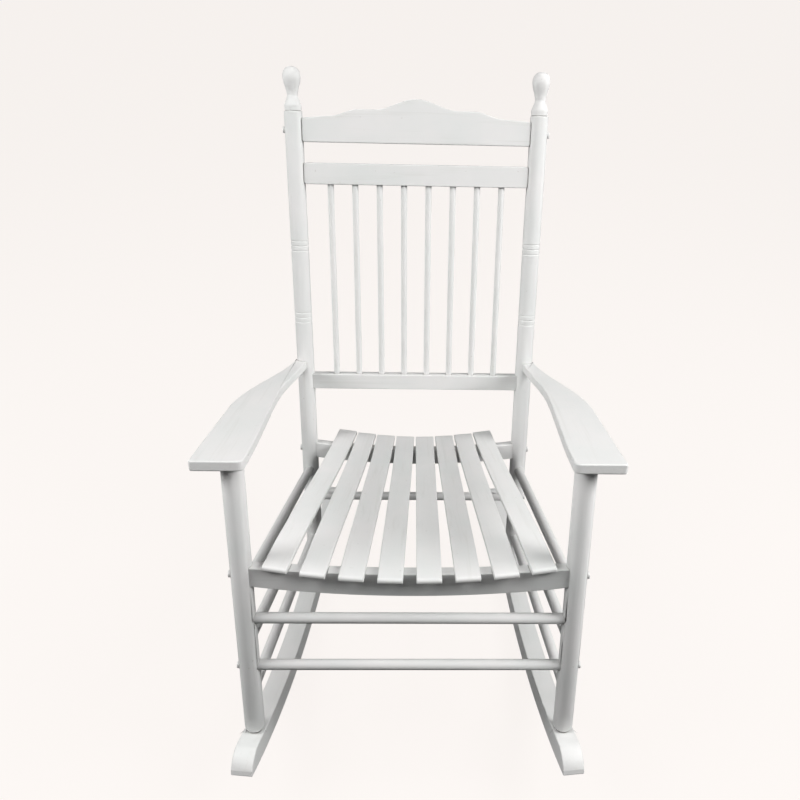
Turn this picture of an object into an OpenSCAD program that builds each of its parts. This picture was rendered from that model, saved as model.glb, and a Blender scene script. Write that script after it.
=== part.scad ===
// Porch rocking chair with a spindle back and a slatted seat.
// Every piece is drawn in the chair's own upright frame: X across, Y to the back, Z up,
// with the front posts standing at Y = 0. The whole chair then rolls back on its
// rockers by the lean angle until its weight sits over the point where they touch.

/* [Stance] */
// Angle that the chair rolls back to come to rest
lean = 11.75; // [0:0.05:18]
// Radius of the underside of the rockers
rocker_r = 1020; // [800:1:1400]
// Distance from the front posts back to the rocker's lowest point, before it leans
rocker_low_y = 192; // [130:1:260]

/* [Rockers] */
// Width of each rocker
rocker_w = 40; // [28:1:60]
// Height of each rocker
rocker_h = 42; // [32:1:60]
// Length of rocker in front of the front posts
rocker_front = 85; // [40:1:120]
// Length of rocker behind the back posts
rocker_rear = 245; // [140:1:320]
// Rounding of the top corner at the rocker ends
rocker_nose_r = 40; // [5:1:41]

/* [Posts] */
// Diameter of the four posts
post_d = 36.5; // [30:0.5:48]
// Half the distance between the front posts where they meet the rockers
front_foot_x = 291; // [270:1:350]
// Angle that each front post leans in toward the top
front_splay = 1.3; // [0:0.1:3]
// Half the distance between the back posts
back_post_x = 243.7; // [190:0.1:280]
// Distance from the front posts to the back posts at seat height
back_y = 500; // [420:1:560]
// Height at which that distance is measured
back_z = 449; // [400:1:500]
// Angle that the back leans from the front posts
rake = 3.7; // [0:0.1:14]
// Length of the back posts above the height where their distance is measured
back_len = 754; // [740:1:910]
// Diameter of the tenons that join the posts to rockers and arms
foot_tenon_d = 19; // [12:0.5:24]
// Length of those tenons
foot_tenon_len = 25; // [12:1:30]
// Diameter of the collar turned under each post
foot_collar_d = 24; // [20:0.5:30]
// Height of the collar showing above each rocker
foot_gap = 4; // [1:0.5:8]

/* [Turnings] */
// Diameter of the finial ball
finial_d = 34.7; // [24:0.1:45]
// Diameter of the neck under the finial
neck_d = 20.7; // [14:0.1:26]
// Diameter of the bead under the neck
bead_d = 33.6; // [26:0.1:36]
// Height of the lower group of ring grooves above the seat height
rings_low = 261; // [200:1:330]
// Height of the upper group of ring grooves above the seat height
rings_high = 413; // [350:1:500]
// Spacing of the rings within a group
ring_pitch = 10.2; // [6:0.1:14]
// Depth of each ring groove
ring_depth = 1.1; // [0.4:0.1:2]
// Depth of the flat planed on the inner side of each back post, where the rails meet it
flat_deep = 1.5; // [1:0.1:4]

/* [Back] */
// Thickness of the three back rails
back_rail_t = 21; // [14:1:26]
// Height of the crest rail's lower edge above the seat height
crest_z = 617; // [560:1:660]
// Height of the crest rail at its ends
crest_end_h = 44; // [30:1:60]
// Height of the crest rail at its centre
crest_mid_h = 83; // [60:1:110]
// Height of the upper back rail's lower edge above the seat height
upper_rail_z = 537; // [480:1:560]
// Height of the upper back rail
upper_rail_h = 41; // [30:1:50]
// Height of the lower back rail's lower edge above the seat height
lower_rail_z = 98; // [60:1:140]
// Height of the lower back rail
lower_rail_h = 33.5; // [24:0.5:50]
// Number of spindles
spindles = 8; // [8:1:8]
// Diameter of a spindle
spindle_d = 12.5; // [8:0.5:18]
// Distance between spindle centres
spindle_pitch = 50; // [36:0.5:56]
// Depth that each spindle goes into a rail
spindle_seat = 13; // [6:1:18]

/* [Arms] */
// Height of the top of the arms above the front posts' Y = 0 line
arm_z = 653; // [590:1:700]
// Angle that the arms slope down to the back
arm_slope = 4.6; // [0:0.1:8]
// Thickness of the arms
arm_t = 17; // [14:0.5:26]
// Length of arm in front of the front posts
arm_front = 39; // [25:1:70]
// How far the arm's inner edge lies inside the axis of the front post
arm_inside = 27.5; // [20:0.5:36]
// Width of the arm at the front
arm_w = 82; // [60:1:110]
// Width of the arm where it meets the back post
arm_rear_w = 27; // [18:1:32]

/* [Seat] */
// Thickness of the front seat rail
front_rail_t = 20.5; // [16:0.5:26]
// Height of the front seat rail's top at its centre
front_rail_z = 427; // [390:1:460]
// Height of the front seat rail at its ends
front_rail_end_h = 37.5; // [30:0.5:46]
// Dish of the front seat rail's top, centre below ends
front_dish = 12.8; // [4:0.1:24]
// Bow of the front seat rail's underside, centre below ends
front_bow = 20.5; // [4:0.1:30]
// Thickness of the rear seat rail
rear_rail_t = 22; // [16:0.5:26]
// Depth of the rear seat rail's top at its ends below the seat height
rear_rail_drop = 33; // [20:1:60]
// Height of the rear seat rail
rear_rail_h = 36; // [30:1:50]
// Dish of the rear seat rail
rear_dish = 18; // [4:0.1:26]
// Number of seat slats
slats = 8; // [8:1:8]
// Width of a slat
slat_w = 42; // [30:0.5:44]
// Thickness of a slat
slat_t = 10; // [8:0.5:14]
// Overhang of the slats behind the middle of the rear seat rail
slat_rear = 42; // [28:1:60]
// Overhang of the middle slats in front of the front posts' centre line
slat_front = 38; // [24:1:50]
// Gap between slats at their front ends
slat_gap_front = 22.5; // [14:0.5:24]
// Gap between slats at their rear ends
slat_gap_rear = 3.3; // [1:0.1:8]
// How far the outer slats sit back from the middle ones
slat_stagger = 5.5; // [0:0.5:12]

/* [Stretchers] */
// Diameter of the front and rear stretchers
stretcher_d = 19.2; // [14:0.1:26]
// Diameter of the side stretchers
side_d = 20; // [12:0.1:22]
// Diameter of the side seat rails
side_rail_d = 20; // [14:0.1:24]
// Height of the upper front stretcher
front_high_z = 326; // [305:1:350]
// Height of the lower front stretcher
front_low_z = 219.5; // [195:0.5:245]
// Height of the rear stretcher
rear_z = 272; // [272:1:300]
// Height of the side seat rails at the front posts
side_rail_front_z = 386; // [375:1:388]
// Height of the side seat rails at the back posts
side_rail_back_z = 348; // [325:1:350]
// Height of the upper side stretchers at the front posts
side_high_front_z = 269; // [250:1:285]
// Height of the upper side stretchers at the back posts
side_high_back_z = 247; // [215:1:248]
// Height of the lower side stretchers at the front posts
side_low_front_z = 153; // [130:1:180]
// Height of the lower side stretchers at the back posts
side_low_back_z = 170; // [150:1:195]
// Depth that stretchers and rails go into the posts
socket_deep = 11; // [7:0.5:13]

/* [Fasteners] */
// Diameter of the frame bolts
bolt_d = 6; // [5:0.5:8]
// Diameter of the bolt heads
bolt_head_d = 12.5; // [10:0.5:15]
// Height of the bolt heads
bolt_head_h = 5; // [3:0.5:7]
// Length of the frame bolts under the head
bolt_len = 62; // [58:1:66]
// Diameter of the cross nuts in the rails
nut_d = 10; // [9:0.5:12]
// Diameter of the wood screws
screw_d = 4; // [3:0.5:5]
// Diameter of the wood screw heads
screw_head_d = 8; // [6:0.5:10]
// Gap left all round between pieces that fit together
fit_gap = 0.1; // [0.05:0.05:0.3]

/* [Hidden] */
$fn = 96;
paint = [0.91, 0.92, 0.91];
zinc = [0.62, 0.63, 0.65];
big = 2000;
post_r = post_d / 2;

// Stance: the circle of the rockers rolls back about its own centre
foot_run = back_y - (back_z - 98) * tan(rake);
rocker_toe = atan((front_foot_x - back_post_x) / foot_run);
edge_dip = sin(rocker_toe) * sin(lean);
floor_lift = rocker_w / 2 * edge_dip - rocker_r * (1 - sqrt(1 - edge_dip * edge_dip));
// Front and rear ends of the rockers, measured round the circle from its lowest point
nose_angle = asin((rocker_low_y + rocker_front) / rocker_r);
tail_angle = asin((foot_run + rocker_rear - rocker_low_y) / rocker_r);
// Centre of the circle, and how far back a point of the upright frame goes once leaned
pivot_y = rocker_low_y * cos(rocker_toe);
function leaned_y(y, z) = pivot_y + (y - pivot_y) * cos(lean) + (z - rocker_r) * sin(lean);
corner_y = rocker_w / 2 * sin(rocker_toe);
front_most = leaned_y(-rocker_front * cos(rocker_toe) - corner_y, rocker_r * (1 - cos(nose_angle)));
tail_y = leaned_y((foot_run + rocker_rear) * cos(rocker_toe) + corner_y, rocker_r * (1 - cos(tail_angle)));
finial_z = back_len - 17;
finial_y = leaned_y(back_y + finial_z * sin(rake), back_z + finial_z * cos(rake)) + finial_d / 2;
centre_y = (front_most + max(tail_y, finial_y)) / 2;

// Heights of the rocker tops under the posts
function rocker_top(y) = rocker_r - sqrt(pow(rocker_r - rocker_h, 2) - pow(y - rocker_low_y, 2));
front_foot_z = rocker_top(0);
back_foot_z = rocker_top(foot_run);

// Points on the axes of the right-hand posts at a height
function front_pt(z) = [front_foot_x - (z - front_foot_z) * tan(front_splay), 0, z];
function back_pt(z) = [back_post_x, back_y + (z - back_z) * tan(rake), z];
function toward(a, b, d) = a + (b - a) * d / norm(b - a);

// Depth from a post's axis to the end of a rail or stretcher in it
seat_at = post_r - socket_deep;

// Seat rails: the dished edges are arcs of large circles
front_rail_x = front_pt(front_rail_z)[0];
front_top_r = (pow(front_rail_x, 2) + pow(front_dish, 2)) / (2 * front_dish);
front_low_r = (pow(front_rail_x, 2) + pow(front_bow, 2)) / (2 * front_bow);
rear_top_r = (pow(back_post_x, 2) + pow(rear_dish, 2)) / (2 * rear_dish);
front_rail_low = front_rail_z + front_dish - front_rail_end_h - front_bow;
rear_rail_z = -rear_rail_drop - rear_dish;
function front_top(x) = front_rail_z + front_top_r - sqrt(pow(front_top_r, 2) - x * x);
function rear_top(x) = rear_rail_z + rear_top_r - sqrt(pow(rear_top_r, 2) - x * x);

// Slats: a fan about a point far behind the chair
rear_rail_y = back_pt(back_z + rear_rail_z * cos(rake))[1];
slat_len = slat_front + rear_rail_y + slat_rear;
slat_apex = slat_len * (slat_w + slat_gap_front) / (slat_gap_front - slat_gap_rear);
slat_fan = 2 * asin((slat_w + slat_gap_front) / 2 / slat_apex);
function slat_angle(i) = (i - (slats - 1) / 2) * slat_fan;
function slat_back(i) = slat_stagger * pow(2 * i / (slats - 1) - 1, 2);
// Place of the two seat rails along a slat, from its front end
function rail_along(i, y) = slat_apex - (slat_apex - slat_front - y) / cos(slat_angle(i)) - slat_back(i);
function slat_x(i, y) = (slat_apex - slat_front - y) * tan(slat_angle(i));
function rear_world_z(x) = back_z + rear_top(x) * cos(rake);
// Fall of the slat's underside along its length: level over the front rail, then scooped
slat_level = slat_front + 26;
slat_run = slat_front + rear_rail_y - slat_level;
slat_fall = front_rail_z - rear_world_z(0);
function ease(s) = s <= 0 ? 0 : s >= 1 ? 1 : pow(s, 1.6) * (3 - 2 * pow(s, 0.8));
function slat_dip(y) = -slat_fall * ease((y - slat_level) / slat_run);
// Lift that lets a flat slat rest on the edges of the curved rail tops
slat_lift = 0.35;

// Pieces on the left are mirror images of those on the right
module side(s) {
    if (s < 0) mirror([1, 0, 0]) children();
    else children();
}

// Puts a piece drawn in the upright frame on the floor, leaned back
module stand() {
    translate([0, -centre_y, floor_lift])
        translate([0, pivot_y, rocker_r])
            rotate([-lean, 0, 0])
                translate([0, -pivot_y, -rocker_r]) children();
}

// Frame of the back: Z runs up the back posts from the seat height
module back_frame() {
    translate([0, back_y, back_z]) rotate([-rake, 0, 0]) children();
}

// Round bar from one point to another
module rod(a, b, d) {
    v = b - a;
    translate(a) rotate([0, acos(v[2] / norm(v)), atan2(v[1], v[0])]) cylinder(h = norm(v), d = d);
}

// Round bar between two post axes, ending in its sockets; grow makes the sockets
module bar(a, b, d, grow = 0) {
    rod(toward(a, b, seat_at - grow * 4), toward(b, a, seat_at - grow * 4), d + 2 * grow);
}

// ---- rockers ----

nose_cross = 0.6;

// Side outline of a rocker, X to the back from under the front post
module rocker_outline() {
    inner = rocker_r - rocker_h;
    // The rounding circle crosses both faces at a slight angle, so the corners stay crisp lines
    mid = inner + rocker_nose_r - nose_cross;
    nose_in = asin((rocker_nose_r - nose_cross) / mid);
    translate([rocker_low_y, rocker_r]) difference() {
        circle(r = rocker_r, $fn = 720);
        circle(r = inner, $fn = 720);
        rotate(-90 - nose_angle) translate([0, -big]) square([big, big]);
        rotate(-90 + tail_angle) square([big, big]);
        translate([-big, 0]) square([2 * big, big]);
        // The top corner at each end is rounded
        rotate(-90 - nose_angle + nose_in) difference() {
            translate([0, -big]) square([mid, big]);
            translate([mid, 0]) circle(r = rocker_nose_r);
        }
        rotate(-90 + tail_angle - nose_in) difference() {
            square([mid, big]);
            translate([mid, 0]) circle(r = rocker_nose_r);
        }
    }
}

// Frame of a rocker: turned in toward the back, along the line of the two posts
module rocker_frame() {
    translate([front_foot_x, 0, 0]) rotate([0, 0, rocker_toe]) children();
}

// Wood screws up through the rocker into the post feet
function rocker_under(y) = rocker_r - sqrt(pow(rocker_r, 2) - pow(y - rocker_low_y, 2));
module foot_screw(at, y, rx, grow = 0) {
    translate(at) rotate(rx) {
        down = at[2] - rocker_under(y);
        translate([0, 0, -down + 4]) cylinder(h = down + 26, d = screw_d + 2 * grow);
        translate([0, 0, -down + 4 - (grow > 0 ? 12 : 0)])
            cylinder(h = 3 + grow + (grow > 0 ? 12 : 0), d = screw_head_d + 2 * grow);
    }
}
module foot_screws(grow = 0) {
    foot_screw(front_pt(front_foot_z), 0, [0, -front_splay, 0], grow);
    foot_screw(back_pt(back_foot_z), foot_run, [-rake, 0, 0], grow);
}

module rocker(s) {
    color(paint) stand() side(s) difference() {
        rocker_frame() translate([rocker_w / 2, 0, 0]) rotate([90, 0, -90]) mirror([1, 0, 0])
            linear_extrude(rocker_w) rocker_outline();
        foot_tenon(front_pt(front_foot_z), [0, -front_splay, 0], fit_gap);
        foot_tenon(back_pt(back_foot_z), [-rake, 0, 0], fit_gap);
        foot_screws(fit_gap);
    }
}

// Tenon under a post, and the collar above it that is let into the top of the rocker
collar_sink = 1.5;
module foot_tenon(at, turn, grow = 0) {
    translate(at) rotate(turn) {
        translate([0, 0, -foot_tenon_len - grow])
            cylinder(h = foot_tenon_len + foot_gap + 5 + grow, d = foot_tenon_d + 2 * grow);
        translate([0, 0, -collar_sink - grow])
            cylinder(h = collar_sink + foot_gap + 3 + grow, d = foot_collar_d + 2 * grow);
    }
}

// ---- posts ----

// Half outline of a post's rounded foot, as points from the axis outward and up
foot_round = 10;
foot_in = foot_collar_d / 2;
function foot_points(z0) = [[0, z0],
    for (a = [-90:15:0]) [foot_in + (post_r - foot_in) * cos(a), z0 + foot_round * (1 + sin(a))]];

// Half outline of one V groove at height z
function groove(z, r, deep, half) = [[r, z - half], [r - deep, z], [r, z + half]];
function ring_group(z) = concat(groove(z - ring_pitch, post_r, ring_depth, 1.6),
    groove(z, post_r, ring_depth, 1.6), groove(z + ring_pitch, post_r, ring_depth, 1.6));

// Half outline of the groove, drum, flare, neck and egg finial; h is the height of the tip
finial_r = finial_d / 2;
neck_r = neck_d / 2;
bead_r = bead_d / 2;
function finial_points(h) = concat(
    [[post_r, h - 81.5], [post_r - 0.5, h - 80.6], [bead_r - 1.8, h - 79.6], [bead_r - 0.5, h - 78.6]],
    [[bead_r, h - 71], [bead_r - 0.2, h - 69], [bead_r - 0.8, h - 67.4]],
    [for (t = [0.1:0.15:0.85])
        [bead_r - 0.8 - (bead_r - 0.8 - neck_r) * (1.1 * t - 0.1 * t * t), h - 67.4 + 14 * t]],
    [for (t = [0.04:0.08:0.96]) [neck_r + (finial_r - neck_r) * (1 - cos(180 * t)) / 2, h - 53 + 35 * t]],
    [for (a = [0:10:80]) [finial_r * pow(cos(a), 0.75), h - 18 + 18 * sin(a)]],
    [[0, h]]);

// Turned back post in the back frame
back_foot = (back_foot_z - back_z) / cos(rake);
module back_post_turning() {
    rotate_extrude() polygon(concat(foot_points(back_foot + foot_gap),
        ring_group(rings_low), ring_group(rings_high), finial_points(back_len)));
}

// Flat planed on the inner side of the post, where the crest and upper rails meet it
flat_in = post_r - flat_deep;
module post_flat() {
    low = upper_rail_z - 12;
    translate([-flat_in - post_d, -post_r, low]) cube([post_d, post_d, back_len - 80.4 - low]);
    // The flat runs out below the rails
    translate([-flat_in, 0, low]) rotate([0, 5, 0]) translate([-post_d, -post_r, -40])
        cube([post_d, post_d, 40]);
}

module front_post(s) {
    color(paint) stand() side(s) difference() {
        union() {
            translate(front_pt(front_foot_z)) rotate([0, -front_splay, 0]) {
                rotate_extrude() polygon(concat(foot_points(foot_gap),
                    [[post_r, arm_z + 40], [0, arm_z + 40]]));
            }
            foot_tenon(front_pt(front_foot_z), [0, -front_splay, 0]);
        }
        // The top is cut to the arm's underside, around a round tenon
        difference() {
            arm_frame() translate([0, -big / 2, -arm_t]) cube([big, big, big]);
            arm_tenon();
        }
        front_rail(fit_gap);
        front_bars(fit_gap);
        side_bars(fit_gap);
        bolts_front(fit_gap);
        pins(fit_gap);
        foot_screws(fit_gap);
    }
}

module back_post(s) {
    color(paint) stand() side(s) difference() {
        union() {
            back_frame() translate([back_post_x, 0, 0]) difference() {
                back_post_turning();
                post_flat();
            }
            foot_tenon(back_pt(back_foot_z), [-rake, 0, 0]);
        }
        back_frame() {
            crest(fit_gap);
            upper_rail(fit_gap);
            lower_rail(fit_gap);
            rear_rail(fit_gap);
        }
        rear_bar(fit_gap);
        side_bars(fit_gap);
        bolts_back(fit_gap);
        arm_screw(fit_gap);
        foot_screws(fit_gap);
    }
}

// ---- back rails and spindles ----

// End of the back rails, inside the posts
back_rail_x = back_post_x - seat_at;
// Height of the crest rail's top edge at a distance from the centre: a slope from the post,
// a smooth step up to a flat shoulder, and a smooth rise to the peak
crest_slope = 6.4;
crest_shoulder = crest_end_h + (crest_mid_h - crest_end_h) * 0.48;
function smooth(s) = s <= 0 ? 0 : s >= 1 ? 1 : s * s * (3 - 2 * s);
function crest_top(x) = crest_end_h
    + crest_slope * (back_post_x - x) / (back_post_x - 163) * (x > 163 ? 1 : 0)
    + crest_slope * (x > 163 ? 0 : 1)
    + (crest_shoulder - crest_end_h - crest_slope) * smooth((168 - x) / 52)
    + (crest_mid_h - crest_shoulder) * smooth((82 - x) / 80);

module rail_block(z, h, t, x, grow = 0) {
    translate([-x - grow, -t / 2 - grow, z - grow])
        cube([2 * (x + grow), t + 2 * grow, h + 2 * grow]);
}
// The crest and upper rails end on the flats, with their end corners rounded, and a tenon
// at each end goes on into the post; with grow they are the mortises
rail_end_x = back_post_x - flat_in - fit_gap;
rail_corner = 4;
tenon_t = back_rail_t - 8;
function corner(x, z, turn) = [for (a = [0:15:90]) [x, z] + rail_corner * [cos(a + turn), sin(a + turn)]];
module crest(grow = 0) {
    x = rail_end_x - rail_corner;
    rail_block(crest_z + 7, crest_end_h - 14, tenon_t, back_rail_x, grow);
    if (grow == 0) translate([0, back_rail_t / 2, crest_z]) rotate([90, 0, 0]) linear_extrude(back_rail_t)
        polygon(concat(corner(x, rail_corner, -90), corner(x, crest_top(x) - rail_corner, 0),
            [for (i = [59:-1:-59]) [x * i / 60, crest_top(abs(x * i / 60))]],
            corner(-x, crest_top(x) - rail_corner, 90), corner(-x, rail_corner, 180)));
}
module upper_rail(grow = 0) {
    x = rail_end_x - rail_corner;
    z = upper_rail_h - rail_corner;
    rail_block(upper_rail_z + 7, upper_rail_h - 14, tenon_t, back_rail_x, grow);
    if (grow == 0) translate([0, back_rail_t / 2, upper_rail_z]) rotate([90, 0, 0])
        linear_extrude(back_rail_t) polygon(concat(corner(x, rail_corner, -90), corner(x, z, 0),
            corner(-x, z, 90), corner(-x, rail_corner, 180)));
}
module lower_rail(grow = 0) {
    rail_block(lower_rail_z, lower_rail_h, back_rail_t, back_rail_x, grow);
}
function spindle_x(i) = (i - (spindles - 1) / 2) * spindle_pitch;
module spindle_bar(i, grow = 0) {
    low = lower_rail_z + lower_rail_h - spindle_seat;
    translate([spindle_x(i), 0, low - grow])
        cylinder(h = upper_rail_z + spindle_seat - low + 2 * grow, d = spindle_d + 2 * grow);
}

module crest_rail() {
    color(paint) stand() difference() {
        back_frame() crest();
        for (s = [-1, 1]) side(s) bolts_back(fit_gap, true);
    }
}
module upper_back_rail() {
    color(paint) stand() back_frame() difference() {
        upper_rail();
        for (i = [0:spindles - 1]) spindle_bar(i, fit_gap);
    }
}
module lower_back_rail() {
    color(paint) stand() back_frame() difference() {
        lower_rail();
        for (i = [0:spindles - 1]) spindle_bar(i, fit_gap);
    }
}
module spindle(i) {
    color(paint) stand() back_frame() spindle_bar(i);
}

// ---- arms ----

// Frame of an arm: its top face is the plane Z = 0, Y runs back along it
module arm_frame() {
    translate([0, 0, arm_z]) rotate([-arm_slope, 0, 0]) children();
}
arm_in_x = front_pt(arm_z)[0] - arm_inside;
arm_out_x = arm_in_x + arm_w;
// Length of the arm's top from the front posts' line to inside the back post
arm_back = (back_pt(arm_z - 45)[1]) / cos(arm_slope);
arm_end_x = back_post_x - 6;
// Plan outline of the right arm: both edges are smooth curves
function arm_outer(y) = arm_out_x
    - (arm_out_x - arm_end_x - arm_rear_w) * smooth((y / arm_back - 0.4) / 0.62);
function arm_inner(y) = arm_in_x + 9 * smooth(y / (0.55 * arm_back))
    - (arm_in_x + 9 - arm_end_x) * smooth((y / arm_back - 0.55) / 0.48);
module arm_outline() {
    r_in = 10;
    r_out = 5;
    ys = [for (i = [0:36]) 30 - arm_front + (arm_back + arm_front - 30) * i / 36];
    polygon(concat(
        [for (a = [180:15:270]) [arm_in_x + r_in + r_in * cos(a), -arm_front + r_in + r_in * sin(a)]],
        [for (a = [270:15:360]) [arm_out_x - r_out + r_out * cos(a), -arm_front + r_out + r_out * sin(a)]],
        [for (y = ys) [arm_outer(y), y]],
        [for (i = [36:-1:0]) [arm_inner(ys[i]), ys[i]]]));
}

// Tenon on top of a front post, up into the arm
module arm_tenon(grow = 0) {
    translate(front_pt(front_foot_z)) rotate([0, -front_splay, 0])
        cylinder(h = arm_z - front_foot_z - 6 + grow, d = foot_tenon_d + 2 * grow);
}
// Pin through the arm's inner edge and the post's tenon
module pins(grow = 0) {
    arm_frame() translate([arm_in_x + 1.5 - (grow > 0 ? 8 : 0), front_pt(arm_z)[1], -arm_t / 2])
        rotate([0, 90, 0]) cylinder(h = 38 + (grow > 0 ? 8 + grow : 0), d = 4 + 2 * grow, $fn = 32);
}
// Screw from behind the back post into the arm's end
module arm_screw(grow = 0) {
    z = arm_z - 54;
    at = back_pt(z);
    translate([at[0] + 8, at[1], z]) rotate([90 - arm_slope, 0, 0]) {
        translate([0, 0, -post_r + 3.5]) cylinder(h = 62, d = screw_d + 2 * grow, $fn = 32);
        translate([0, 0, -post_r + 3.5 - (grow > 0 ? 10 : 0)])
            cylinder(h = 3 + grow + (grow > 0 ? 10 : 0), d = screw_head_d + 2 * grow, $fn = 48);
    }
}
module arm(s) {
    color(paint) stand() side(s) difference() {
        arm_frame() translate([0, 0, -arm_t]) linear_extrude(arm_t) arm_outline();
        arm_tenon(fit_gap);
        back_frame() translate([back_post_x, 0, -100]) cylinder(h = 500, d = post_d + 2 * fit_gap);
        pins(fit_gap);
        arm_screw(fit_gap);
    }
}

// ---- seat ----

// Front rail in the upright frame: dished top, bowed underside
module front_rail(grow = 0) {
    x = front_rail_x - seat_at + grow;
    translate([0, front_rail_t / 2 + grow, 0]) rotate([90, 0, 0])
        linear_extrude(front_rail_t + 2 * grow) difference() {
            translate([-x, front_rail_low - 5]) square([2 * x, 100]);
            translate([0, front_rail_z + front_top_r + grow]) circle(r = front_top_r, $fn = 1440);
            difference() {
                translate([-big, front_rail_low - 50]) square([2 * big, 90]);
                translate([0, front_rail_low + front_low_r - grow]) circle(r = front_low_r, $fn = 1440);
            }
        }
}
// Rear rail in the back frame: top and underside share the same dish
module rear_rail(grow = 0) {
    x = back_post_x - seat_at + grow;
    translate([0, rear_rail_t / 2 + grow, 0]) rotate([90, 0, 0])
        linear_extrude(rear_rail_t + 2 * grow) difference() {
            translate([-x, rear_rail_z - rear_rail_h - 5]) square([2 * x, rear_rail_h + rear_dish + 10]);
            translate([0, rear_rail_z + rear_top_r + grow]) circle(r = rear_top_r, $fn = 1440);
            difference() {
                translate([-big, rear_rail_z - rear_rail_h - 50]) square([2 * big, 50 + rear_dish + 6]);
                translate([0, rear_rail_z - rear_rail_h + rear_top_r - grow])
                    circle(r = rear_top_r, $fn = 1440);
            }
        }
}
module front_seat_rail() {
    color(paint) stand() difference() {
        front_rail();
        for (s = [-1, 1]) side(s) bolts_front(fit_gap, true);
        for (i = [0:slats - 1]) slat_screw_pair(i, fit_gap);
        slat_seats();
    }
}
module rear_seat_rail() {
    color(paint) stand() difference() {
        back_frame() rear_rail();
        for (s = [-1, 1]) side(s) bolts_back(fit_gap, true);
        for (i = [0:slats - 1]) slat_screw_pair(i, fit_gap);
        slat_seats();
    }
}

// Side outline of a slat: X from its front end to the back, underside at the seat rails
module slat_outline() {
    n = 40;
    r = 4.5;
    low = [for (i = [0:n]) let (y = 2 + (slat_len - 4) * i / n) [y, slat_dip(y)]];
    top = [for (i = [n:-1:0]) let (y = r + (slat_len - 2 * r) * i / n) [y, slat_dip(y) + slat_t]];
    end_z = slat_dip(slat_len);
    polygon(concat(low, [[slat_len, end_z + 2]],
        [for (a = [0:18:72]) [slat_len - r + r * cos(a), end_z + slat_t - r + r * sin(a)]], top,
        [for (a = [108:18:180]) [r + r * cos(a), slat_t - r + r * sin(a)]], [[0, 2]]));
}
// Tilt of a slat across the dish, and along so that it meets both rails
function slat_roll(i) = (asin(slat_x(i, 0) / front_top_r) + asin(slat_x(i, rear_rail_y) / rear_top_r)) / 2;
function slat_rest(i, y, z) = z - slat_dip(rail_along(i, y));
function slat_rest_front(i) = slat_rest(i, 0, front_top(slat_x(i, 0)));
function slat_rest_rear(i) = slat_rest(i, rear_rail_y, rear_world_z(slat_x(i, rear_rail_y)));
function slat_rise(i) = atan((slat_rest_rear(i) - slat_rest_front(i)) / rear_rail_y);
module slat_frame(i) {
    translate([0, slat_apex - slat_front, 0]) rotate([0, 0, slat_angle(i)])
        translate([0, -slat_apex + slat_back(i), 0])
            translate([0, rail_along(i, 0), slat_rest_front(i) + slat_lift])
                rotate([slat_rise(i), 0, 0]) translate([0, -rail_along(i, 0), 0])
                    rotate([0, -slat_roll(i), 0]) children();
}
// Screws up through the seat rails into a slat
module slat_screw_pair(i, grow = 0) {
    slat_screw([slat_x(i, 0), 0, front_top(slat_x(i, 0))],
        -slat_roll(i), 0, front_rail_z - front_rail_low, grow);
    slat_screw([slat_x(i, rear_rail_y), rear_rail_y, rear_world_z(slat_x(i, rear_rail_y))],
        -slat_roll(i), -rake, rear_rail_h, grow);
}
module slat_screw(at, roll, back, rail_h, grow = 0) {
    under = 22;
    translate(at) rotate([back, roll, 0]) {
        translate([0, 0, -under]) cylinder(h = under + slat_t - 3 + grow, d = screw_d + 2 * grow, $fn = 32);
        translate([0, 0, -under - (grow > 0 ? rail_h : 0)])
            cylinder(h = 3 + grow + (grow > 0 ? rail_h : 0), d = screw_head_d + 2 * grow, $fn = 32);
    }
}
// A slat, or with grow the shallow seat that it lies in on the rails
module slat_body(i, grow = 0) {
    slat_frame(i) translate([-slat_w / 2 - grow, 0, -grow]) rotate([90, 0, 90])
        linear_extrude(slat_w + 2 * grow) slat_outline();
}
module slat_seats() {
    for (i = [0:slats - 1]) slat_body(i, fit_gap);
}
module seat_slat(i) {
    color(paint) stand() difference() {
        slat_body(i);
        slat_screw_pair(i, fit_gap);
    }
}

// ---- stretchers ----

module front_bar(z, grow = 0) {
    p = front_pt(z);
    q = [-p[0], p[1], p[2]];
    bar(p, q, stretcher_d, grow);
}
module front_bars(grow = 0) {
    front_bar(front_high_z, grow);
    front_bar(front_low_z, grow);
}
module rear_bar(grow = 0) {
    p = back_pt(rear_z);
    bar(p, [-p[0], p[1], p[2]], stretcher_d, grow);
}
module side_bar(z_front, z_back, d, grow = 0) {
    bar(front_pt(z_front), back_pt(z_back), d, grow);
}
module side_bars(grow = 0) {
    side_bar(side_rail_front_z, side_rail_back_z, side_rail_d, grow);
    side_bar(side_high_front_z, side_high_back_z, side_d, grow);
    side_bar(side_low_front_z, side_low_back_z, side_d, grow);
}
module side_seat_rail(s) {
    color(paint) stand() side(s) side_bar(side_rail_front_z, side_rail_back_z, side_rail_d);
}
module side_stretcher_upper(s) {
    color(paint) stand() side(s) side_bar(side_high_front_z, side_high_back_z, side_d);
}
module side_stretcher_lower(s) {
    color(paint) stand() side(s) side_bar(side_low_front_z, side_low_back_z, side_d);
}
module front_stretcher_upper() {
    color(paint) stand() front_bar(front_high_z);
}
module front_stretcher_lower() {
    color(paint) stand() difference() {
        front_bar(front_low_z);
        for (s = [-1, 1]) side(s) bolts_front(fit_gap, true);
    }
}
module rear_stretcher() {
    color(paint) stand() difference() {
        rear_bar();
        for (s = [-1, 1]) side(s) bolts_back(fit_gap, true);
    }
}

// ---- fasteners ----

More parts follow.
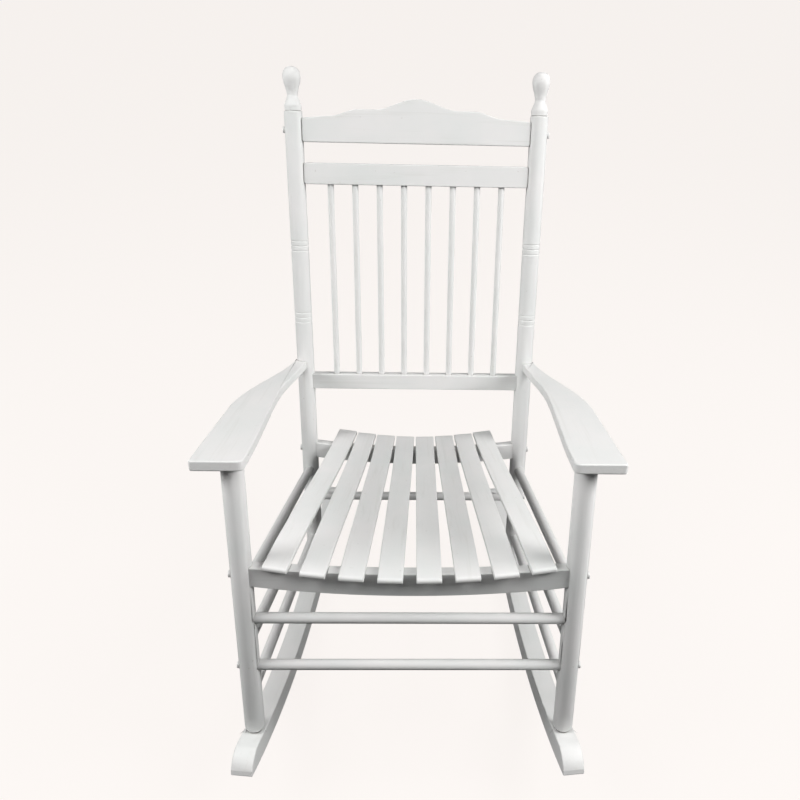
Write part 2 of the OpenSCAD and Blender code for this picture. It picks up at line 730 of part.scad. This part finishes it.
// Bolt with its axis along X; its head rests on the post's outer side at the origin
bolt_seat = sqrt(post_r * post_r - bolt_head_d * bolt_head_d / 4);
nut_at = bolt_len - 9;
module bolt(grow = 0) {
    translate([bolt_seat - 0.5, 0, 0]) rotate([0, -90, 0]) {
        cylinder(h = bolt_len + grow * 10, d = bolt_d + 2 * grow, $fn = 48);
        translate([0, 0, -bolt_head_h]) difference() {
            cylinder(h = bolt_head_h, d = bolt_head_d + 2 * grow, $fn = 48);
            if (grow == 0) translate([0, 0, -1]) cylinder(h = 3.4, d = 4.6, $fn = 6);
        }
    }
}
module nut(len, grow = 0) {
    translate([bolt_seat - 0.5 - nut_at, 0, 0]) rotate([90, 0, 0]) difference() {
        translate([0, 0, -len / 2 - (grow > 0 ? 20 : 0)])
            cylinder(h = len + grow + (grow > 0 ? 20 : 0), d = nut_d + 2 * grow, $fn = 64);
        if (grow == 0) rotate([0, 90, 0]) translate([0, 0, -nut_d])
            cylinder(h = 2 * nut_d, d = bolt_d + 2 * fit_gap, $fn = 48);
    }
}
// Heights of the bolts
front_bolt_z = front_rail_z + front_dish - front_rail_end_h / 2 - 1;
rear_bolt_z = back_z + (-rear_rail_drop - rear_rail_h / 2) * cos(rake);
crest_bolt_z = back_z + (crest_z + crest_end_h / 2) * cos(rake);
module at_front_bolts() {
    for (z = [front_bolt_z, front_low_z]) translate(front_pt(z)) children();
}
module at_back_bolts() {
    for (z = [crest_bolt_z, rear_bolt_z, rear_z]) translate(back_pt(z)) rotate([-rake, 0, 0]) children();
}
module bolts_front(grow = 0, nuts = false) {
    at_front_bolts() bolt(grow);
    if (nuts) at_front_bolts() nut(13, grow);
}
module bolts_back(grow = 0, nuts = false) {
    at_back_bolts() bolt(grow);
    if (nuts) at_back_bolts() nut(13, grow);
}
module frame_bolts() {
    color(zinc) stand() for (s = [-1, 1]) side(s) {
        bolts_front();
        bolts_back();
    }
}
module barrel_nuts() {
    color(zinc) stand() for (s = [-1, 1]) side(s) {
        at_front_bolts() nut(13);
        at_back_bolts() nut(13);
    }
}
module arm_pins() {
    color(zinc) stand() for (s = [-1, 1]) side(s) pins();
}
module arm_screws() {
    color(zinc) stand() for (s = [-1, 1]) side(s) arm_screw();
}
module slat_screws() {
    color(zinc) stand() for (i = [0:slats - 1]) slat_screw_pair(i);
}
module rocker_screws() {
    color(zinc) stand() for (s = [-1, 1]) side(s) foot_screws();
}

// ---- pieces ----

rocker(-1);  // rocker_left
rocker(1);  // rocker_right
front_post(-1);  // front_post_left
front_post(1);  // front_post_right
back_post(-1);  // back_post_left
back_post(1);  // back_post_right
arm(-1);  // arm_left
arm(1);  // arm_right
crest_rail();
upper_back_rail();
lower_back_rail();
spindle(0);  // spindle_1
spindle(1);  // spindle_2
spindle(2);  // spindle_3
spindle(3);  // spindle_4
spindle(4);  // spindle_5
spindle(5);  // spindle_6
spindle(6);  // spindle_7
spindle(7);  // spindle_8
front_seat_rail();
rear_seat_rail();
side_seat_rail(-1);  // side_seat_rail_left
side_seat_rail(1);  // side_seat_rail_right
seat_slat(0);  // seat_slat_1
seat_slat(1);  // seat_slat_2
seat_slat(2);  // seat_slat_3
seat_slat(3);  // seat_slat_4
seat_slat(4);  // seat_slat_5
seat_slat(5);  // seat_slat_6
seat_slat(6);  // seat_slat_7
seat_slat(7);  // seat_slat_8
front_stretcher_upper();
front_stretcher_lower();
rear_stretcher();
side_stretcher_upper(-1);  // side_stretcher_upper_left
side_stretcher_upper(1);  // side_stretcher_upper_right
side_stretcher_lower(-1);  // side_stretcher_lower_left
side_stretcher_lower(1);  // side_stretcher_lower_right
frame_bolts();
barrel_nuts();
arm_pins();
arm_screws();
slat_screws();
rocker_screws();
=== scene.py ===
import math
import bpy
from mathutils import Matrix, Vector

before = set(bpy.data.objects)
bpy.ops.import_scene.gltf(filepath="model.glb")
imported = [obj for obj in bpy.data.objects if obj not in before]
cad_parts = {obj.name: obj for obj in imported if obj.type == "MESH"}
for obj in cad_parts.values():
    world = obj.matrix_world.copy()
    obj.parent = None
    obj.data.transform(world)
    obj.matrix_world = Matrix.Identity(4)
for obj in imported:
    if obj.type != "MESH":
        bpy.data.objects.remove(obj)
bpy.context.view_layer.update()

MM = 0.001

# How the chair stands: every piece is described in the chair's upright frame, in
# millimetres, and then leaned back about the centre of the rockers' circle.
LEAN = math.radians(11.75)
PIVOT = Vector((0, 191.064, 1020))
SHIFT = Vector((0, -155.141, 0.196))

# How the pieces slant in the upright frame, for the direction of their grain
RAKE = math.radians(3.7)
ARM_SLOPE = math.radians(4.6)
FRONT_SPLAY = math.radians(1.3)
ROCKER_TOE = math.radians(5.67)
SLAT_FAN = math.radians(1.91)
ACROSS = (1, 0, 0)
SIDES = (("left", -1), ("right", 1))
SLATS = 8
SPINDLES = 8

# Camera, in the chair's upright frame
CAMERA_AT = Vector((19.2, -971.9, 1175.9))
CAMERA_YAW = math.radians(1.74)
CAMERA_PITCH = math.radians(-24.29)
CAMERA_ROLL = math.radians(1.33)
CAMERA_LENS = 31.844
CAMERA_SENSOR = 36
CAMERA_SHIFT = (-0.05374, 0.00456)
CAMERA_REACH = 200

# Paint: its colours, and the fineness of its patterns, as noise scales per metre
PAINT = (0.76, 0.75, 0.74, 1)
PAINT_COOL = (0.70, 0.715, 0.70, 1)
PAINT_THIN = (0.62, 0.615, 0.585, 1)
SCUFF = (0.47, 0.45, 0.41, 1)
# Painted shade: a darker colour laid into joints and tight corners where ambient occlusion finds
# shade, and how far that painted shade reaches
JOINT_PAINTED_SHADE = (0.30, 0.29, 0.27, 1)
JOINT_SHADE_REACH = 4 * MM
GRAIN_STRETCH = 0.045
STREAK_SCALE = 420
FIGURE_SCALE = 95
CLOUD_SCALE = 9
FILM_SCALE = 520
SPECK_SCALE = 150

# Plated steel
STEEL = (0.50, 0.51, 0.53, 1)
STEEL_DULL = (0.38, 0.39, 0.41, 1)
MOTTLE_SCALE = 260

# How far edges are rounded, in millimetres
ROD_EDGE = 1.2
ARM_EDGE = 2.5
ROCKER_EDGE = 2.2
CREST_EDGE = 2.0
RAIL_EDGE = 1.6
SLAT_EDGE = 1.8
BOLT_EDGE = 0.8
PIN_EDGE = 0.4
AS_TURNED = 0
SHARP_ANGLE = math.radians(38)
FLAT_ANGLE = math.radians(0.6)
WELD_GAP = 0.02 * MM
EDGE_STEPS = 3

# Floor
FLOOR_SIZE = 160
FLOOR_CENTRE = (0, 20, 0)
FLOOR_COLOUR = (0.05, 0.05, 0.05, 1)
FLOOR_GLOW_COLOUR = (1.0, 0.955, 0.925, 1)
FLOOR_GLOW = 0.92

# Room, whose glow changes from below the horizon to above it
ROOM_COLOUR = (0.98, 0.99, 1.0, 1)
ROOM_GLOW_LOW = 0.02
ROOM_GLOW_HIGH = 0.03
HORIZON_BLEND = 0.1

# Soft boxes: name, place and aim in metres, width and height in metres, power in watts
SQUARE_BOX = (1.4, 1.4)
WIDE_BOX = (1.5, 1.0)
SOFT_BOXES = (
    ("left_high", (-2.2, -0.5, 2.2), (0, 0, 0.4), SQUARE_BOX, 58),
    ("right_high", (2.2, -0.5, 2.2), (0, 0, 0.4), SQUARE_BOX, 82),
    ("left_side", (-2.6, -0.3, 1.0), (0, 0, 0.3), SQUARE_BOX, 8),
    ("right_side", (2.6, -0.3, 1.0), (0, 0, 0.3), SQUARE_BOX, 6),
    ("over_front", (0, -1.3, 2.6), (0, -0.1, 0.45), WIDE_BOX, 11),
    ("over_back", (0, 1.3, 2.6), (0, 0, 0.45), WIDE_BOX, 3),
)


def leaned_direction(direction):
    return Matrix.Rotation(-LEAN, 3, "X") @ Vector(direction)


def leaned_point(point):
    """Where a point of the upright frame, in millimetres, is in the scene, in metres."""
    return (leaned_direction(Vector(point) - PIVOT) + PIVOT + SHIFT) * MM


# ---- camera ----

def make_camera():
    ahead = Vector((math.sin(CAMERA_YAW) * math.cos(CAMERA_PITCH),
                    math.cos(CAMERA_YAW) * math.cos(CAMERA_PITCH),
                    math.sin(CAMERA_PITCH)))
    right = ahead.cross(Vector((0, 0, 1))).normalized()
    up = right.cross(ahead)
    rolled_right = right * math.cos(CAMERA_ROLL) + up * math.sin(CAMERA_ROLL)
    rolled_up = up * math.cos(CAMERA_ROLL) - right * math.sin(CAMERA_ROLL)
    columns = [leaned_direction(v) for v in (rolled_right, rolled_up, -ahead)]
    turn = Matrix(columns).transposed().to_4x4()
    data = bpy.data.cameras.new("camera")
    data.lens = CAMERA_LENS
    data.sensor_width = CAMERA_SENSOR
    data.shift_x, data.shift_y = CAMERA_SHIFT
    data.clip_end = CAMERA_REACH
    camera = bpy.data.objects.new("camera", data)
    bpy.context.collection.objects.link(camera)
    camera.matrix_world = Matrix.Translation(leaned_point(CAMERA_AT)) @ turn
    bpy.context.scene.camera = camera


# ---- shader nodes ----

def new_material(name):
    material = bpy.data.materials.new(name)
    material.use_nodes = True
    nodes = material.node_tree.nodes
    nodes.clear()
    shader = nodes.new("ShaderNodeBsdfPrincipled")
    output = nodes.new("ShaderNodeOutputMaterial")
    material.node_tree.links.new(shader.outputs[0], output.inputs[0])
    return material, nodes, material.node_tree.links, shader


def dot_with(nodes, links, vector, axis, scale):
    """One coordinate of a vector: its part along an axis, times a scale."""
    dot = nodes.new("ShaderNodeVectorMath")
    dot.operation = "DOT_PRODUCT"
    dot.inputs[1].default_value = Vector(axis) * scale
    links.new(vector, dot.inputs[0])
    return dot.outputs["Value"]


def along_grain(nodes, links, along, stretch):
    """Coordinates whose Z runs with the grain, times stretch, and the object's own."""
    place = nodes.new("ShaderNodeTexCoord").outputs["Object"]
    along = Vector(along).normalized()
    helper = Vector((1, 0, 0)) if abs(along.x) < 0.8 else Vector((0, 0, 1))
    side = along.cross(helper).normalized()
    other = along.cross(side)
    combine = nodes.new("ShaderNodeCombineXYZ")
    links.new(dot_with(nodes, links, place, side, 1), combine.inputs[0])
    links.new(dot_with(nodes, links, place, other, 1), combine.inputs[1])
    links.new(dot_with(nodes, links, place, along, stretch), combine.inputs[2])
    return combine.outputs[0], place


def noise(nodes, links, vector, scale, detail=2.0, rough=0.5, distortion=0.0):
    node = nodes.new("ShaderNodeTexNoise")
    node.inputs["Scale"].default_value = scale
    node.inputs["Detail"].default_value = detail
    node.inputs["Roughness"].default_value = rough
    node.inputs["Distortion"].default_value = distortion
    links.new(vector, node.inputs["Vector"])
    return node.outputs["Fac"]


def remap(nodes, links, value, low, high, to_low, to_high):
    node = nodes.new("ShaderNodeMapRange")
    node.inputs["From Min"].default_value = low
    node.inputs["From Max"].default_value = high
    node.inputs["To Min"].default_value = to_low
    node.inputs["To Max"].default_value = to_high
    links.new(value, node.inputs["Value"])
    return node.outputs["Result"]


def tint(nodes, links, colour, amount, other):
    """Mixes a colour, or a colour output, toward another by a varying amount."""
    node = nodes.new("ShaderNodeMix")
    node.data_type = "RGBA"
    if hasattr(colour, "is_output"):
        links.new(colour, node.inputs["A"])
    else:
        node.inputs["A"].default_value = colour
    node.inputs["B"].default_value = other
    links.new(amount, node.inputs["Factor"])
    return node.outputs["Result"]


def openness(nodes, distance):
    """How open a place is, from 0 deep in a joint to 1 on a free face."""
    node = nodes.new("ShaderNodeAmbientOcclusion")
    node.samples = 8
    node.inputs["Distance"].default_value = distance
    return node.outputs["AO"]


def bump(nodes, links, height, strength, distance, before=None):
    node = nodes.new("ShaderNodeBump")
    node.inputs["Strength"].default_value = strength
    node.inputs["Distance"].default_value = distance
    links.new(height, node.inputs["Height"])
    if before is not None:
        links.new(before, node.inputs["Normal"])
    return node.outputs["Normal"]


# ---- materials ----

def painted_wood(name, along, knots=0.0, relief=1.0):
    """White satin paint over wood, with the grain running along a direction."""
    material, nodes, links, shader = new_material(name)
    grain, place = along_grain(nodes, links, along, GRAIN_STRETCH)
    streaks = noise(nodes, links, grain, STREAK_SCALE, 3, 0.6)
    figure = noise(nodes, links, grain, FIGURE_SCALE, 3, 0.55, 0.6)
    clouds = noise(nodes, links, place, CLOUD_SCALE, 3, 0.5)
    film = noise(nodes, links, place, FILM_SCALE, 2, 0.5)
    specks = noise(nodes, links, place, SPECK_SCALE, 1, 0.4)
    cool = remap(nodes, links, clouds, 0.35, 0.7, 0, 0.8)
    thin = remap(nodes, links, figure, 0.55, 0.78, 0, 0.35 + knots)
    scuffed = remap(nodes, links, specks, 0.76, 0.82, 0, 0.35)
    # Painted shade: the paint is darkened in joints and corners by how enclosed they are, standing
    # in for the shade that falls there
    joint = remap(nodes, links, openness(nodes, JOINT_SHADE_REACH), 0.2, 0.75, 0.7, 0)
    colour = tint(nodes, links, PAINT, cool, PAINT_COOL)
    colour = tint(nodes, links, colour, thin, PAINT_THIN)
    colour = tint(nodes, links, colour, scuffed, SCUFF)
    colour = tint(nodes, links, colour, joint, JOINT_PAINTED_SHADE)
    links.new(colour, shader.inputs["Base Color"])
    links.new(remap(nodes, links, streaks, 0.3, 0.7, 0.46, 0.62), shader.inputs["Roughness"])
    normal = bump(nodes, links, streaks, 0.22 * relief, 0.4 * MM)
    normal = bump(nodes, links, figure, 0.18 * relief, 0.6 * MM, normal)
    normal = bump(nodes, links, film, 0.08, 0.3 * MM, normal)
    links.new(normal, shader.inputs["Normal"])
    shader.inputs["IOR"].default_value = 1.48
    shader.inputs["Specular IOR Level"].default_value = 0.4
    shader.inputs["Coat Weight"].default_value = 0.04
    shader.inputs["Coat Roughness"].default_value = 0.25
    return material


def plated_steel(name):
    material, nodes, links, shader = new_material(name)
    place = nodes.new("ShaderNodeTexCoord").outputs["Object"]
    mottle = noise(nodes, links, place, MOTTLE_SCALE, 3, 0.6)
    dull = remap(nodes, links, mottle, 0.4, 0.7, 0, 1)
    links.new(tint(nodes, links, STEEL, dull, STEEL_DULL), shader.inputs["Base Color"])
    links.new(remap(nodes, links, mottle, 0.3, 0.7, 0.32, 0.55), shader.inputs["Roughness"])
    links.new(bump(nodes, links, mottle, 0.15, 0.2 * MM), shader.inputs["Normal"])
    shader.inputs["Metallic"].default_value = 1.0
    return material


def glowing_floor(name):
    """A pale floor whose brightness is mostly its own, so that it stays even."""
    material, _, _, shader = new_material(name)
    shader.inputs["Base Color"].default_value = FLOOR_COLOUR
    shader.inputs["Roughness"].default_value = 0.95
    shader.inputs["Specular IOR Level"].default_value = 0.05
    shader.inputs["Emission Color"].default_value = FLOOR_GLOW_COLOUR
    shader.inputs["Emission Strength"].default_value = FLOOR_GLOW
    return material


# ---- pieces ----

def round_edges(piece, width):
    """Softens the sharp edges of a piece, as sanding and paint do."""
    weld = piece.modifiers.new("weld", "WELD")
    weld.merge_threshold = WELD_GAP
    # Flat faces come as many triangles, which would spoil the rounding of their edges
    join_flats = piece.modifiers.new("join_flats", "DECIMATE")
    join_flats.decimate_type = "DISSOLVE"
    join_flats.angle_limit = FLAT_ANGLE
    bevel = piece.modifiers.new("bevel", "BEVEL")
    bevel.limit_method = "ANGLE"
    bevel.angle_limit = SHARP_ANGLE
    bevel.width = width * MM
    bevel.segments = EDGE_STEPS
    bevel.harden_normals = True
    bevel.use_clamp_overlap = False


def use(node, material, edge=ROD_EDGE):
    """Gives a CAD node its material, and rounds its edges by a width in millimetres."""
    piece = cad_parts[node]
    piece.data.materials.clear()
    piece.data.materials.append(material)
    if edge:
        round_edges(piece, edge)


def paint_back():
    back_up = leaned_direction((0, math.sin(RAKE), math.cos(RAKE)))
    rod_paint = painted_wood("paint_rods", back_up, 0, 0.3)
    post_paint = painted_wood("paint_back_up", back_up)
    for side, _ in SIDES:
        use("back_post_" + side, post_paint, AS_TURNED)
    for i in range(SPINDLES):
        use("spindle_%d" % (i + 1), rod_paint, AS_TURNED)
    use("crest_rail", painted_wood("paint_crest", ACROSS, 0.25), CREST_EDGE)


def paint_rails():
    across_paint = painted_wood("paint_across", ACROSS)
    for node in ("upper_back_rail", "lower_back_rail", "front_seat_rail", "rear_seat_rail"):
        use(node, across_paint, RAIL_EDGE)
    for node in ("front_stretcher_upper", "front_stretcher_lower", "rear_stretcher"):
        use(node, across_paint)


def paint_side(side, sign):
    post_up = leaned_direction((-sign * math.sin(FRONT_SPLAY), 0, math.cos(FRONT_SPLAY)))
    arm_back = leaned_direction((0, math.cos(ARM_SLOPE), -math.sin(ARM_SLOPE)))
    run_back = leaned_direction((-sign * math.sin(ROCKER_TOE), math.cos(ROCKER_TOE), 0))
    run_paint = painted_wood("paint_runs_" + side, run_back)
    use("front_post_" + side, painted_wood("paint_front_post_" + side, post_up))
    use("arm_" + side, painted_wood("paint_arm_" + side, arm_back), ARM_EDGE)
    use("rocker_" + side, run_paint, ROCKER_EDGE)
    for rod in ("side_seat_rail_", "side_stretcher_upper_", "side_stretcher_lower_"):
        use(rod + side, run_paint)


def paint_seat():
    for i in range(SLATS):
        turn = (i - (SLATS - 1) / 2) * SLAT_FAN
        along = leaned_direction((-math.sin(turn), math.cos(turn), 0))
        number = str(i + 1)
        use("seat_slat_" + number, painted_wood("paint_slat_" + number, along, 0.08), SLAT_EDGE)


def finish_fasteners():
    bolt_paint = painted_wood("paint_hardware", ACROSS)
    use("frame_bolts", bolt_paint, BOLT_EDGE)
    use("arm_pins", bolt_paint, PIN_EDGE)
    steel = plated_steel("zinc_steel")
    for node in ("barrel_nuts", "arm_screws", "slat_screws", "rocker_screws"):
        use(node, steel, AS_TURNED)


# ---- studio ----

def make_floor():
    bpy.ops.mesh.primitive_plane_add(size=FLOOR_SIZE, location=FLOOR_CENTRE)
    floor = bpy.context.object
    floor.name = "floor"
    floor.data.materials.append(glowing_floor("pale_floor"))
    # The floor's glow must not light the chair from below
    floor.visible_diffuse = False
    floor.visible_glossy = False


def make_room():
    """A dim room, so that the soft boxes shape the chair."""
    world = bpy.data.worlds.new("studio")
    world.use_nodes = True
    nodes = world.node_tree.nodes
    links = world.node_tree.links
    place = nodes.new("ShaderNodeTexCoord").outputs["Generated"]
    height = dot_with(nodes, links, place, (0, 0, 1), 1)
    glow = remap(nodes, links, height, -HORIZON_BLEND, HORIZON_BLEND, ROOM_GLOW_LOW, ROOM_GLOW_HIGH)
    nodes["Background"].inputs[0].default_value = ROOM_COLOUR
    links.new(glow, nodes["Background"].inputs[1])
    bpy.context.scene.world = world


def make_soft_box(name, at, target, size, power):
    data = bpy.data.lights.new(name, "AREA")
    data.shape = "RECTANGLE"
    data.size, data.size_y = size
    data.energy = power
    light = bpy.data.objects.new(name, data)
    bpy.context.collection.objects.link(light)
    light.location = at
    light.rotation_euler = (Vector(target) - Vector(at)).to_track_quat("-Z", "Y").to_euler()


make_camera()
paint_back()
paint_rails()
for side, sign in SIDES:
    paint_side(side, sign)
paint_seat()
finish_fasteners()
make_floor()
make_room()
for soft_box in SOFT_BOXES:
    make_soft_box(*soft_box)
bpy.context.scene.view_settings.view_transform = "Standard"
